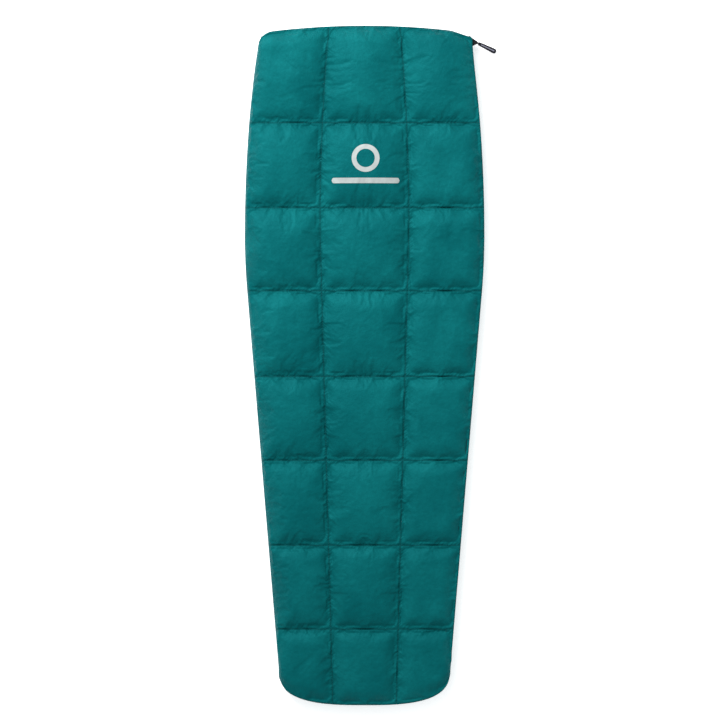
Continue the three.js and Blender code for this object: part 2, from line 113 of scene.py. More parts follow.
def half(s):
    """Half width at a station, before the corners are rounded."""
    s = np.asarray(s, float)
    taper_from = SHOULDER_AT + SHOULDER_RADIUS * TAPER
    flare = HALF_WIDTH - (SHOULDER_AT - s) ** 2 / (2 * HEAD_FLARE_RADIUS)
    shoulder = HALF_WIDTH - (s - SHOULDER_AT) ** 2 / (2 * SHOULDER_RADIUS)
    taper = HALF_WIDTH - SHOULDER_RADIUS * TAPER**2 / 2 - TAPER * (s - taper_from)
    return np.where(s < SHOULDER_AT, flare, np.where(s < taper_from, shoulder, taper))


def long_seam(s):
    """Distance from the middle to a long seam at a station."""
    towards_head = LONG_SEAM_HEAD * (1 - s / LONG_SEAM_AT) ** 2
    towards_foot = LONG_SEAM_FOOT * (s - LONG_SEAM_AT) / (LENGTH - LONG_SEAM_AT)
    return LONG_SEAM - np.where(s < LONG_SEAM_AT, towards_head, towards_foot)


def smoothstep(t):
    t = np.clip(t, 0, 1)
    return t * t * (3 - 2 * t)


def left_border(s):
    """Where the rigid layers end and the fold band starts."""
    return np.maximum(AXIS_INSET - HALF_WIDTH + AXIS_SLOPE * (s - SHOULDER_AT) + 0.001, FOLD_WIDTH - half(s))


def zip_arc(s):
    """The zip's x at a station along the side."""
    return ZIP_WIDEST - ZIP_RADIUS + np.sqrt(ZIP_RADIUS**2 - (s - ZIP_WIDEST_AT) ** 2)


def y_of(s, x):
    """The head hem is bowed, and the bow fades out by the first cross seam."""
    fade = np.maximum(0, 1 - s / SEAMS[0])
    return HEAD_Y - s - HEAD_BOW * (x / half(s)) ** 2 * fade


def foot_curve(inset, width_at, start, depth, turns):
    """Points (x, s) round the foot from right to left, turns in radians from the +X side."""
    c, n = np.cos(turns), np.sin(turns)
    s = start + (depth - inset) * np.abs(n) ** (2 / ROUND_POWER)
    x = np.sign(c) * np.abs(c) ** (2 / ROUND_POWER) * (width_at(s) - inset)
    return np.stack([x, s], 1)


def resample(points, counts, cuts):
    """Splits a polyline at the x values in cuts and spaces each stretch evenly into counts cells."""
    length = np.concatenate([[0], np.cumsum(np.linalg.norm(np.diff(points, axis=0), axis=1))])
    marks = [0, *[np.interp(x, points[:, 0], length) for x in cuts], length[-1]]
    at = [np.linspace(marks[i], marks[i + 1], n + 1)[i > 0 :] for i, n in enumerate(counts)]
    return np.stack([np.interp(np.concatenate(at), length, points[:, k]) for k in (0, 1)], 1)


def head_curve():
    """The head edge (x, s) from left to right: a round left corner, and a sharp one drawn down at the zip."""
    turns = np.linspace(0, np.pi / 2, 16)
    reach = half(0.0)
    left_x = -reach - 0.004 * (1 - np.cos(turns)) + HEAD_CORNER * (1 - np.sin(turns))
    left = np.stack([left_x, HEAD_CORNER * (1 - np.cos(turns))], 1)[::-1]
    x = np.linspace(left[-1, 0], reach + 0.002, 80)[1:]
    flat = np.stack([x, ZIP_CORNER_DIP * smoothstep((x - 0.245) / 0.07)], 1)
    turns = turns[1:]
    right = flat[-1] + np.stack([ZIP_CORNER * np.sin(turns), ZIP_CORNER * (1 - np.cos(turns))], 1)
    return np.concatenate([left, flat, right])


def plan_grid(cell, lines, head, foot):
    """A grid of (x, s) whose columns run along the given lines and whose rows run along the cross seams.

    Also returns the rows of the head, seams and foot, and the columns of the lines.
    """
    widths = [float(b(1.0) - a(1.0)) for a, b in zip(lines, lines[1:])]
    counts = [max(3, round(w / cell)) for w in widths]
    columns = np.cumsum([0, *counts])

    def across(s):
        x = np.empty_like(s)
        for k, n in enumerate(counts):
            part = slice(columns[k], columns[k + 1] + 1)
            t = np.linspace(0, 1, n + 1)
            x[part] = lines[k](s)[part] * (1 - t) + lines[k + 1](s)[part] * t
        return x

    ends = []
    for curve in (head, foot):
        s = np.full(1, np.median(curve[:, 1]))
        ends.append(resample(curve, counts, [float(line(s)[0]) for line in lines[1:-1]]))
    stations = [ends[0][:, 1], *[np.full(columns[-1] + 1, s) for s in SEAMS], ends[1][:, 1]]
    rows, marks = [], [0]
    for i in range(len(stations) - 1):
        low, high = stations[i], stations[i + 1]
        n = max(4, round((high.mean() - low.mean()) / cell))
        for t in np.linspace(0, 1, n + 1)[i > 0 :]:
            s = low + (high - low) * t
            x = across(s)
            if i == 0:
                x += (1 - t) ** 4 * (ends[0][:, 0] - across(low))
            if i == len(stations) - 2:
                x += t * (ends[1][:, 0] - across(high))
            rows.append(np.stack([x, s], 1))
        marks.append(len(rows) - 1)
    return np.array(rows), marks, list(columns)


# ---------------------------------------------------------------- cloth surfaces


def noise(a, b, seed):
    """Smooth noise over a plane, about -1 to 1, one wave per unit."""
    table = np.random.default_rng(seed).uniform(-1, 1, (128, 128))
    i, j = np.floor(a).astype(int), np.floor(b).astype(int)
    u, v = smoothstep(a - i), smoothstep(b - j)
    at = lambda di, dj: table[(i + di) % 128, (j + dj) % 128]
    return (at(0, 0) * (1 - u) + at(1, 0) * u) * (1 - v) + (at(0, 1) * (1 - u) + at(1, 1) * u) * v


def pillow(rows, columns, marks, seams):
    """0 on every seam and 1 in the middle of every chamber."""

    def arch(n, cuts):
        out = np.zeros(n)
        for low, high in zip(cuts, cuts[1:]):
            out[low : high + 1] = np.sin(np.pi * np.linspace(0, 1, high - low + 1))
        return out

    return np.outer(arch(rows, marks), arch(columns, seams))


def refine(grid):
    """Twice as many cells each way, on a smooth curve through the old points."""
    for axis in (0, 1):
        g = np.moveaxis(grid, axis, 0)
        ends = np.concatenate([2 * g[:1] - g[1:2], g, 2 * g[-1:] - g[-2:-1]])
        middle = (9 * (ends[1:-2] + ends[2:-1]) - ends[:-3] - ends[3:]) / 16
        fine = np.empty((2 * len(g) - 1, *g.shape[1:]))
        fine[::2] = g
        fine[1::2] = middle
        grid = np.moveaxis(fine, 0, axis)
    return grid


def seam_distances(grid, marks, columns):
    """Distance of every point from the nearest cross seam or end, and from the nearest long seam or side."""
    across = np.min([np.linalg.norm(grid[..., :2] - grid[m : m + 1, :, :2], axis=-1) for m in marks], axis=0)
    along = np.min([np.linalg.norm(grid[..., :2] - grid[:, c : c + 1, :2], axis=-1) for c in columns], axis=0)
    return across, along


def pucker(grid, across, along, depth, seed):
    """Adds the gathers that a sewn seam draws into thin cloth, and a light crumple everywhere."""
    x, y = grid[..., 0], grid[..., 1]
    rise = np.zeros(x.shape)
    for away, run, k in ((across, x, 1), (along, y, 2)):
        slant = 1.4 * noise(x / 0.22, y / 0.22, seed + 10 * k)
        gathers = noise((run + slant * away) / 0.0085, away / 0.03, seed + k)
        broad = noise((run + 0.8 * slant * away) / 0.02, away / 0.05, seed + 5 * k)
        near = np.exp(-away / 0.014) * (1 - np.exp(-away / 0.002))
        wide = np.exp(-away / 0.035) * (1 - np.exp(-away / 0.006))
        rise += depth * (gathers * near + 0.8 * broad * wide)
    open_cloth = 1 - np.exp(-np.minimum(across, along) / 0.012)
    for size, share, k in ((0.045, 0.5, 31), (0.022, 0.3, 37), (0.011, 0.18, 41)):
        warp = noise(x / 0.08, y / 0.08, seed + k + 1)
        crease = 1 - np.abs(noise(x / size + 1.5 * warp, y / size - warp, seed + k)) ** 0.7
        rise += depth * share * (crease - 0.5) * open_cloth
    moved = grid.copy()
    moved[..., 2] += rise
    return moved


def drape(grid, marks, columns):
    """Lets the cloth between its seams swell under the down's pressure, with Blender's cloth solver."""
    rows, across = grid.shape[:2]
    mesh = bpy.data.meshes.new("drape")
    mesh.from_pydata(grid.reshape(-1, 3).tolist(), [], quads(rows, across).tolist())
    obj = bpy.data.objects.new("drape", mesh)
    bpy.context.scene.collection.objects.link(obj)
    held = np.zeros((rows, across), bool)
    held[marks] = True
    held[:, columns] = True
    obj.vertex_groups.new(name="held").add(np.flatnonzero(held).tolist(), 1.0, "REPLACE")
    cloth = obj.modifiers.new("cloth", "CLOTH")
    settings = cloth.settings
    settings.quality = 4
    settings.mass = 0.05
    settings.tension_stiffness = settings.compression_stiffness = 20
    settings.shear_stiffness = 5
    settings.bending_stiffness = 0.02
    settings.use_pressure = True
    settings.uniform_pressure_force = 3
    settings.effector_weights.gravity = 0
    settings.vertex_group_mass = "held"
    settings.shrink_min = -0.03
    cloth.collision_settings.use_collision = False
    for step in range(1, DRAPE_STEPS + 1):
        bpy.context.scene.frame_set(step)
    solved = obj.evaluated_get(bpy.context.evaluated_depsgraph_get()).data
    moved = np.empty(rows * across * 3)
    solved.vertices.foreach_get("co", moved)
    bpy.data.objects.remove(obj)
    bpy.data.meshes.remove(mesh)
    bpy.context.scene.frame_set(1)
    move = moved.reshape(grid.shape) - grid
    size = np.linalg.norm(move, axis=-1, keepdims=True)
    return grid + move * np.minimum(1, DRAPE_CAP / np.maximum(size, 1e-9))


def quads(rows, columns):
    """The faces of a grid of points."""
    at = np.arange(rows * columns).reshape(rows, columns)
    return np.stack([at[1:, :-1], at[1:, 1:], at[:-1, 1:], at[:-1, :-1]], -1).reshape(-1, 4)


def turned_over(points):
    """The same place in the other layer."""
    return points * [1, 1, -1] + [0, 0, 2 * MID]


# ---------------------------------------------------------------- pieces


def add_mesh(name, points, faces, material):
    mesh = bpy.data.meshes.new(name)
    faces = faces if isinstance(faces, list) else faces.tolist()
    mesh.from_pydata(np.asarray(points).reshape(-1, 3).tolist(), [], faces)
    mesh.polygons.foreach_set("use_smooth", [True] * len(mesh.polygons))
    mesh.materials.append(material)
    obj = bpy.data.objects.new(name, mesh)
    bpy.context.scene.collection.objects.link(obj)
    return obj


def add_sheet(name, grid, material, flip=False):
    faces = quads(*grid.shape[:2])
    return add_mesh(name, grid, faces[:, ::-1] if flip else faces, material)


def add_fields(obj, across=OPEN_CLOTH, along=OPEN_CLOTH):
    """Stores every point's distance from the nearest cross seam and long seam, for the cloth's material,
    which darkens the cloth near a seam with painted shade and bumps gathers off it.
    """
    for name, values in (("across", across), ("along", along)):
        values = np.array(np.broadcast_to(np.ravel(values), len(obj.data.vertices)))
        obj.data.attributes.new(name, "FLOAT", "POINT").data.foreach_set("value", values)


def finish_piece(obj, body, slot, *nodes):
    """Hangs the piece on the body that it rides on, and hides the CAD nodes that it stands for. The slot for
    its finish is not used.
    """
    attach(obj, body)
    if nodes:
        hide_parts(*nodes)


# ---------------------------------------------------------------- materials


class Nodes:
    """A small helper that builds a material's node tree."""

    def __init__(self, name, color, roughness, **sockets):
        self.material = bpy.data.materials.new(name)
        self.material.use_nodes = True
        self.tree = self.material.node_tree
        self.shader = self.tree.nodes["Principled BSDF"]
        self.set(self.shader, **{"Base Color": (*color, 1), "Roughness": roughness, **sockets})
        self.place = self.add("ShaderNodeTexCoord").outputs["Object"]

    def add(self, kind, **inputs):
        node = self.tree.nodes.new(kind)
        self.set(node, **inputs)
        return node

    def set(self, node, **inputs):
        for name, value in inputs.items():
            socket = node.inputs[name.replace("_", " ") if name not in node.inputs else name]
            if isinstance(value, bpy.types.NodeSocket):
                self.tree.links.new(value, socket)
            else:
                socket.default_value = value

    def noise(self, scale, detail=3.0, rough=0.5):
        texture = self.add("ShaderNodeTexNoise", Vector=self.place, Scale=scale, Detail=detail)
        texture.inputs["Roughness"].default_value = rough
        return texture.outputs["Fac"]

    def ramp(self, value, low, high):
        node = self.add("ShaderNodeMapRange", Value=value)
        for name, number in zip(("From Min", "From Max"), (low, high)):
            node.inputs[name].default_value = number
        return node.outputs[0]

    def mix(self, factor, a, b):
        node = self.tree.nodes.new("ShaderNodeMix")
        node.data_type = "RGBA"
        for index, value in ((0, factor), (6, a), (7, b)):
            if isinstance(value, bpy.types.NodeSocket):
                self.tree.links.new(value, node.inputs[index])
            else:
                node.inputs[index].default_value = value if index == 0 else (*value, 1)
        return node.outputs[2]

    def math(self, operation, a, b):
        node = self.tree.nodes.new("ShaderNodeMath")
        node.operation = operation
        for index, value in enumerate((a, b)):
            if isinstance(value, bpy.types.NodeSocket):
                self.tree.links.new(value, node.inputs[index])
            else:
                node.inputs[index].default_value = value
        return node.outputs[0]

    def field(self, name):
        node = self.tree.nodes.new("ShaderNodeAttribute")
        node.attribute_name = name
        return node.outputs["Fac"]

    def bump(self, *heights):
        """Each height is (socket, distance in metres). They stack."""
        normal = None
        for height, distance in heights:
            node = self.add("ShaderNodeBump", Height=height, Distance=distance)
            if normal is not None:
                self.tree.links.new(normal, node.inputs["Normal"])
            normal = node.outputs[0]
        self.tree.links.new(normal, self.shader.inputs["Normal"])

    def weave(self, pitch):
        """Threads of a plain weave: over and under, in the sheet's plane."""
        waves = []
        for axis in ("X", "Y"):
            node = self.add("ShaderNodeTexWave", Vector=self.place, Scale=0.1 * math.tau / pitch / math.pi)
            node.bands_direction = axis
            waves.append(node.outputs["Fac"])
        return self.math("MULTIPLY", *waves)


def gathers(n, away, run, seed):
    """The fine slanted creases that fan off a seam: away is the distance from it, run the place along it."""
    near = n.math("POWER", 2.718, n.math("MULTIPLY", away, -1 / 0.013))
    heights = []
    for lean in (0.8, -0.8):
        u = n.math("ADD", run, n.math("MULTIPLY", away, lean))
        vector = n.add("ShaderNodeCombineXYZ", X=u, Y=n.math("MULTIPLY", away, 0.22))
        vector.inputs["Z"].default_value = seed + lean
        waves = n.add("ShaderNodeTexNoise", Vector=vector.outputs[0], Scale=140.0, Detail=3.0)
        heights.append(waves.outputs["Fac"])
    side = n.ramp(n.noise(9, 2), 0.42, 0.58)
    both = n.add("ShaderNodeMapRange", Value=side)
    n.set(both, **{"To Min": heights[0], "To Max": heights[1]})
    return n.math("MULTIPLY", n.math("SUBTRACT", both.outputs[0], 0.5), near)


def cloth_material(name, color, deep, pale, roughness, sheen):
    """Thin calendered nylon: mottled, darkened along its seams partly for the thread's own dark colour and
    partly as painted shade of the seam valleys, with gathers, a light crumple and a fine weave.
    """
    n = Nodes(name, color, roughness, **{"Sheen Weight": sheen, "Sheen Roughness": 0.4})
    tint = tuple(0.05 + 0.95 * c / max(color) for c in color)
    n.set(n.shader, **{"Specular Tint": (*tint, 1), "Sheen Tint": (*tint, 1)})
    n.shader.inputs["Specular IOR Level"].default_value = 0.3
    across, along = n.field("across"), n.field("along")
    # Painted shade: a mask that is 1 on a seam and fades within a few millimetres, used below to darken the
    # colour there for the seam valleys' shade as well as the thread's dark colour.
    seam = n.math("POWER", 2.718, n.math("MULTIPLY", n.math("MINIMUM", across, along), -1 / 0.0032))
    base = n.mix(n.ramp(n.noise(7, 4, rough=0.6), 0.36, 0.66), deep, pale)
    fine = n.ramp(n.noise(70, 5, rough=0.75), 0.36, 0.7)
    base = n.mix(n.math("MULTIPLY", fine, 0.42), base, tuple(0.66 * c for c in color))
    base = n.mix(n.math("MULTIPLY", seam, 0.72), base, tuple(0.3 * c for c in color))
    n.tree.links.new(base, n.shader.inputs["Base Color"])
    worn = n.add("ShaderNodeMapRange", Value=n.noise(30, 4))
    worn.inputs["To Min"].default_value = roughness - 0.08
    worn.inputs["To Max"].default_value = roughness + 0.1
    n.tree.links.new(worn.outputs[0], n.shader.inputs["Roughness"])
    place = n.add("ShaderNodeSeparateXYZ", Vector=n.place).outputs
    cross_gathers = gathers(n, across, place["X"], 3)
    long_gathers = gathers(n, along, place["Y"], 11)
    n.bump(
        (n.noise(85, 6, rough=0.62), 0.0016),
        (cross_gathers, 0.0045),
        (long_gathers, 0.0045),
        (n.weave(0.0006), 0.00004),
    )
    return n.material


def plain_material(name, color, roughness, grain, depth, spread=0.25, **sockets):
    """Moulded, painted or spun: one colour with slight variation and a fine grain."""
    n = Nodes(name, color, roughness, **sockets)
    tone = n.ramp(n.noise(grain / 12, 4), 0.3, 0.7)
    low = tuple((1 - spread) * c for c in color)
    high = tuple((1 + spread) * c for c in color)
    n.tree.links.new(n.mix(tone, low, high), n.shader.inputs["Base Color"])
    n.bump((n.noise(grain, 5), depth))
    return n.material


TEAL, DEEP_TEAL, PALE_TEAL = (0.001, 0.086, 0.092), (0.0006, 0.076, 0.082), (0.002, 0.108, 0.113)
GRAPHITE, DEEP_GREY, PALE_GREY = (0.045, 0.052, 0.058), (0.036, 0.042, 0.048), (0.056, 0.064, 0.07)
DULL = {"Specular IOR Level": 0.2}
shell_cloth = cloth_material("shell_cloth", TEAL, DEEP_TEAL, PALE_TEAL, 0.55, 0.03)
liner_cloth = cloth_material("liner_cloth", GRAPHITE, DEEP_GREY, PALE_GREY, 0.52, 0.12)
thread = plain_material("thread", (0.001, 0.06, 0.064), 0.6, 4000, 0.00005)
liner_thread = plain_material("liner_thread", (0.03, 0.035, 0.04), 0.6, 4000, 0.00005)
tape_weave = plain_material("tape_weave", (0.005, 0.006, 0.007), 0.8, 1500, 0.0002, 0.35, **DULL)
coil_nylon = plain_material("coil_nylon", (0.014, 0.016, 0.018), 0.35, 900, 0.00003, 0.15, **DULL)
slider_paint = plain_material("slider_paint", (0.006, 0.006, 0.007), 0.32, 700, 0.00003, 0.2, **DULL)
cord_braid = plain_material("cord_braid", (0.014, 0.014, 0.018), 0.75, 2600, 0.0003, 0.4, **DULL)
grip_rubber = plain_material("grip_rubber", (0.010, 0.010, 0.016), 0.45, 2200, 0.00006, 0.25, **DULL)
inlay_rubber = plain_material("inlay_rubber", (0.27, 0.27, 0.34), 0.38, 1800, 0.00004, 0.12)
down_fluff = plain_material("down_fluff", (0.82, 0.8, 0.75), 0.95, 300, 0.002, 0.08)
print_ink = plain_material("print_ink", (0.36, 0.39, 0.38), 0.6, 800, 0.00004, 0.08)


# ---------------------------------------------------------------- quilted layers


def plan_to_space(plan, rise):
    """Points in the frame for plan points (x, s) of the front layer."""
    x, s = plan[..., 0], plan[..., 1]
    return np.stack([x, y_of(s, x), MID + rise], -1)


def clear_of_down(grid, across, along):
    """The cloth rests on the pads of down, so nowhere does it sink into them. It rounds off their corners."""
    across, along = np.maximum(across, 0.0005), np.maximum(along, 0.0005)
    away = 2**0.25 * (across**-4 + along**-4) ** -0.25
    depth = np.clip((away - 0.014) / 0.044, 0, 1)
    pad = 0.0095 + 0.0148 * (1 - (1 - depth) ** 2)
    rise = grid[..., 2] - MID
    lift = 0.5 * (pad - rise + np.sqrt((rise - pad) ** 2 + 0.004**2))
    grid[..., 2] += lift * smoothstep((away - 0.004) / 0.012)


class Quilting:
    """The quilted cloth over one plan grid, with its rows and columns of stitching."""

    def __init__(self, grid, marks, columns, seams):
        self.grid, self.marks, self.columns, self.seams = grid, marks, columns, seams
        self.across, self.along = seam_distances(grid, marks, seams)

    def stitch_lines(self, first=0):
        """The inner seams. The cross ones start at the given column."""
        inner_rows, inner_columns = self.marks[1:-1], self.seams[1:-1]
        return [self.grid[m, first:] for m in inner_rows] + [self.grid[:, c] for c in inner_columns]


def swell_shell():
    """The front layer's cloth from the fold's outer edge to the zip edge. The back one is its mirror."""
    lines = [lambda s: -half(s), left_border, lambda s: -long_seam(s), long_seam, half]
    foot = foot_curve(0.0, half, LENGTH - FOOT_ROUND, FOOT_ROUND, np.linspace(np.pi, 0, 160))
    plan, marks, columns = plan_grid(CELL, lines, head_curve(), foot)
    seams = [0, *columns[2:]]
    rows, across = plan.shape[:2]
    inside = np.abs(plan[..., 0] - plan[:, :1, 0])
    base = EDGE_RISE * np.sqrt(1 - (1 - np.minimum(inside / 0.012, 1)) ** 2)
    puff = pillow(rows, across, marks, seams) ** 0.75
    grid = plan_to_space(plan, base + 0.5 * (LOFT_RISE - EDGE_RISE) * puff)
    grid = drape(grid, marks, seams)
    return refine(grid), [2 * m for m in marks], [2 * c for c in columns], [2 * c for c in seams]


def make_shells():
    """Both shells, each from the fold's inner edge to the zip edge."""
    smooth, marks, columns, seams = swell_shell()
    across, along = seam_distances(smooth, marks, seams)
    layers = []
    for side, name in ((1, "front"), (-1, "back")):
        grid = smooth.copy()
        clear_of_down(grid, across, along)
        grid = pucker(grid, across, along, 0.0014, 3 if side > 0 else 8)
        if side < 0:
            grid = turned_over(grid)
            grid[..., 2] = np.maximum(grid[..., 2], 0.0004)
        layer = Quilting(grid, marks, columns, seams)
        border = columns[1]
        shell = add_sheet(f"{name}_shell_cloth", grid[:, border:], shell_cloth, side < 0)
        add_fields(shell, layer.across[:, border:], layer.along[:, border:])
        finish_piece(shell, f"{name}_layer", "shell_fabric", f"{name}_shell")
        layers.append(layer)
    return layers


def make_side_fold(front, back):
    """The one stretch of cloth that runs round the left edge from the front layer to the back."""
    border = front.columns[1]
    upper, lower = slice(border, None, -1), slice(1, border + 1)
    grid = np.concatenate([front.grid[:, upper], back.grid[:, lower]], 1)
    fold = add_sheet("side_fold_cloth", grid, shell_cloth)
    across = np.concatenate([front.across[:, upper], back.across[:, lower]], 1)
    add_fields(fold, across)
    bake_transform(fold)
    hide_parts("side_fold_shell", "side_fold_down")


def sewn_edge(edge, rows, side):
    """The facing's inner edge, opposite each point of its outer one, whose first rows run down the side.

    Also returns how far the two facings have closed on each other, which they do beyond the zip's far end.
    """
    s = np.clip((HEAD_Y - edge[:rows, 1]) * ZIP_TURN / (LENGTH - FOOT_ROUND), 0, ZIP_TURN)
    along_side = np.stack([zip_arc(s) + TAPE_CLEAR, HEAD_Y - s], 1)
    foot = edge[rows:]
    depth = np.clip((HEAD_Y - foot[:, 1] - LENGTH + FOOT_ROUND) / FOOT_ROUND, 0, 1) ** (ROUND_POWER / 2)
    width = np.sign(foot[:, 0]) * (1 - np.clip(depth, 0, 1) ** 2) ** 0.5
    turns = np.arctan2(depth, width)
    round_foot = foot_curve(-TAPE_CLEAR, zip_arc, ZIP_TURN, ZIP_FOOT, turns)
    round_foot[:, 1] = HEAD_Y - round_foot[:, 1]
    closing = np.concatenate([np.zeros(rows), smoothstep((turns - 2.2) / 0.12)])
    rise = TAPE_RISE * (1 - closing) + CLOSED_RISE * closing
    plan = np.concatenate([along_side, round_foot])
    return np.concatenate([plan, (MID + side * rise)[:, None]], 1), closing


def make_facing(layer, side, name):
    """The shell's edge, turned in to the zip tape all the way round the side and the foot."""
    edge = np.concatenate([layer.grid[:, -1], layer.grid[-1, ::-1][1:]])
    tape, closing = sewn_edge(edge, len(layer.grid), side)
    share = np.linspace(0, 1, 9)[None, :, None]
    grid = edge[:, None] * (1 - share) + tape[:, None] * share
    share = share[..., 0]
    drawn_in = share ** (1 - 0.65 * closing[:, None])
    ripple = noise(np.arange(len(edge)) / 3.0, edge[:, 0], 5)[:, None]
    grid[..., 2] = edge[:, 2:] * (1 - drawn_in) + tape[:, 2:] * drawn_in
    grid[..., 2] += side * 0.0016 * np.sin(np.pi * share) * ripple
    facing = add_sheet(f"{name}_facing_cloth", grid, shell_cloth, side > 0)
    # The zero at the facing's outer edge puts the cloth material's painted seam shade along the edge where it
    # meets the shell.
    add_fields(facing, along=OPEN_CLOTH * np.broadcast_to(share, grid.shape[:2]))
    finish_piece(facing, f"{name}_layer", "shell_fabric", f"{name}_zip_facing")


def liner_plan():
    """The liners' grid of (x, s), from the fold band to the zip, with its seam rows and columns."""
    lines = [left_border, lambda s: -long_seam(s), long_seam, lambda s: zip_arc(s) - LINER_INSET]
    foot = foot_curve(LINER_INSET, zip_arc, ZIP_TURN, ZIP_FOOT, np.linspace(np.pi, 0, 120))
    foot[:, 0] = np.where(foot[:, 0] < 0, foot[:, 0] * left_border(1.84) / foot[0, 0], foot[:, 0])
    below_hem = 0.004
    x = np.linspace(float(left_border(below_hem)), float(zip_arc(below_hem)) - LINER_INSET, 60)
    edge = head_curve()
    head = np.stack([x, np.interp(x, edge[:, 0], edge[:, 1]) + below_hem], 1)
    plan, marks, columns = plan_grid(1.4 * CELL, lines, head, foot)
    return refine(plan), [2 * m for m in marks], [2 * c for c in columns]


def make_liners():
    """The two liners, sewn up to the shells along every seam and hanging a little towards each other."""
    plan, marks, columns = liner_plan()
    shape = plan.shape[:2]
    near_zip = np.linalg.norm(plan - plan[:, -1:], axis=-1)
    drop = (LINER_SEAM_RISE - LINER_PUFF_RISE) * pillow(*shape, marks, columns) ** 0.4
    rise = LINER_SEAM_RISE - drop * smoothstep((near_zip - 0.03) / 0.02)
    flat = plan_to_space(plan, rise)
    across, along = seam_distances(flat, marks, columns)
    layers = []
    for side, name in ((1, "front"), (-1, "back")):
        grid = pucker(flat, across, along, 0.0003, 17 + side)
        if side < 0:
            grid = turned_over(grid)
        liner = add_sheet(f"{name}_liner_cloth", grid, liner_cloth, side > 0)
        layer = Quilting(grid, marks, columns, columns)
        add_fields(liner, layer.across, layer.along)
        finish_piece(liner, f"{name}_layer", "liner_fabric", f"{name}_liner")
        layers.append(layer)
    return layers


def make_fold_liner(front, back):
    """The liner's own stretch round the inside of the left edge."""
    turns = np.linspace(0, np.pi, 17)[1:-1]
    upper, lower = front.grid[:, 0], back.grid[:, 0]
    s = HEAD_Y - upper[:, 1]
    corner = np.maximum(HEAD_CORNER - s, 0)
    outline = half(s) - HEAD_CORNER + np.sqrt(HEAD_CORNER**2 - corner**2)
    reach = np.maximum(upper[:, 0] + outline - 0.008, 0.002) * smoothstep(s / 0.03)
    middle = np.stack(
        [
            upper[:, :1] - reach[:, None] * np.sin(turns) ** 0.8,
            np.repeat(upper[:, 1:2], len(turns), 1),
            MID + (upper[:, 2:] - MID) * np.cos(turns),
        ],
        -1,
    )
    grid = np.concatenate([upper[:, None], middle, lower[:, None]], 1)
    piece = add_sheet("side_fold_lining", grid, liner_cloth, True)
    add_fields(piece, np.repeat(front.across[:, :1], grid.shape[1], 1))
    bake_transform(piece)
    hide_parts("side_fold_liner")


def make_head_hem(layer, side, name):
    """The rolled hem that closes the layer's head end, from the shell's edge down past the liner's."""
    top = layer.grid[0, layer.columns[1] :]
    turns = np.linspace(0, np.pi, 9)
    drop = side * (MID - top[:, 2:]) + 0.0044
    grid = np.repeat(top[:, None], len(turns), 1)
    grid[..., 2] += side * drop * (1 - np.cos(turns)) / 2
    bulge = smoothstep(np.arange(len(top)) / 12)[:, None]
    grid[..., 1] += bulge * (0.0014 * np.sin(turns) - 0.0035 * smoothstep((turns - 2.4) / 0.7))
    hem = add_sheet(f"{name}_hem_cloth", grid, shell_cloth, side < 0)
    add_fields(hem, across=0.02)
    finish_piece(hem, f"{name}_layer", "shell_fabric", f"{name}_head_hem")


# ---------------------------------------------------------------- thread


def resample_line(line, pitch):
    """Points a pitch apart along a line, and its direction at each."""
    length = np.concatenate([[0], np.cumsum(np.linalg.norm(np.diff(line, axis=0), axis=1))])
    at = np.arange(pitch, length[-1] - pitch, pitch)
    points = np.stack([np.interp(at, length, line[:, k]) for k in range(3)], 1)
    ahead = np.stack([np.interp(at + 0.0005, length, line[:, k]) for k in range(3)], 1)
    along = ahead - points
    return points, along / np.linalg.norm(along, axis=1, keepdims=True)


def make_stitches(name, lines, side, body, slot, material):
    """One short spindle of thread for each stitch."""
    pitch, half_length, radius = 0.0036, 0.0013, 0.00028
    found = [resample_line(line, pitch) for line in lines]
    points = np.concatenate([p for p, _ in found])
    along = np.concatenate([a for _, a in found])
    across = np.stack([-along[:, 1], along[:, 0], np.zeros(len(along))], 1)
    up = np.array([0, 0, side])
    centre = points + up * 0.0003
    ring = [centre + radius * (c * across + n * up) for c, n in ((1, 0), (0, 1), (-1, 0), (0, -1))]
    corners = np.stack([centre - half_length * along, *ring, centre + half_length * along], 1)
    faces = [(0, 1 + (k + 1) % 4, 1 + k) for k in range(4)] + [(5, 1 + k, 1 + (k + 1) % 4) for k in range(4)]
    every = (np.arange(len(points)) * 6)[:, None, None] + np.array(faces)
    finish_piece(add_mesh(name, corners, every.reshape(-1, 3), material), body, slot)


# ---------------------------------------------------------------- zip


def zip_line():
    """The zip's path from its top end down the side and round the foot."""
    s = np.linspace(ZIP_TOP, ZIP_TURN, 400)
    turns = np.radians(np.linspace(0.3, ZIP_LAST_TURN, 160))
    foot = foot_curve(0.0, zip_arc, ZIP_TURN, ZIP_FOOT, turns)
    plan = np.concatenate([np.stack([zip_arc(s), s], 1), foot])
    return np.stack([plan[:, 0], HEAD_Y - plan[:, 1], np.full(len(plan), MID)], 1)


def make_coil(side, name):
    """The coil's turns as a row of small rounded teeth, set half a pitch apart on the two tapes."""
    pitch = 0.0016
    points, along = resample_line(zip_line(), pitch)
    points = points + along * (pitch / 4) * side
    across = np.stack([along[:, 1], -along[:, 0], np.zeros(len(along))], 1)
    up = np.array([0, 0, side])
    profile = [(-0.0014, 0.0022), (-0.0011, 0.0003), (0.0011, 0.0003), (0.0014, 0.0022), (0, 0.0026)]
    rings = [
        points + along * a * w + across * c * w + up * (0.0013 + (h - 0.0013) * w)
        for a, w in ((-0.00042, 0.8), (-0.00022, 1), (0.00022, 1), (0.00042, 0.8))
        for c, h in profile
    ]
    corners = np.stack(rings, 1)
    n = len(profile)
    around = [(k, (k + 1) % n, n + (k + 1) % n, n + k) for k in range(n)]
    walls = np.concatenate([np.array(around) + r * n for r in range(3)])
    caps = np.array([list(range(n))[::-1], [3 * n + k for k in range(n)]])
    first = (np.arange(len(points)) * 4 * n)[:, None, None]
    faces = (first + walls).reshape(-1, 4).tolist() + (first + caps).reshape(-1, n).tolist()
    coil = add_mesh(f"{name}_coil_teeth", corners, faces, coil_nylon)
    finish_piece(coil, f"{name}_layer", "zip_coil", f"{name}_zip_coil")


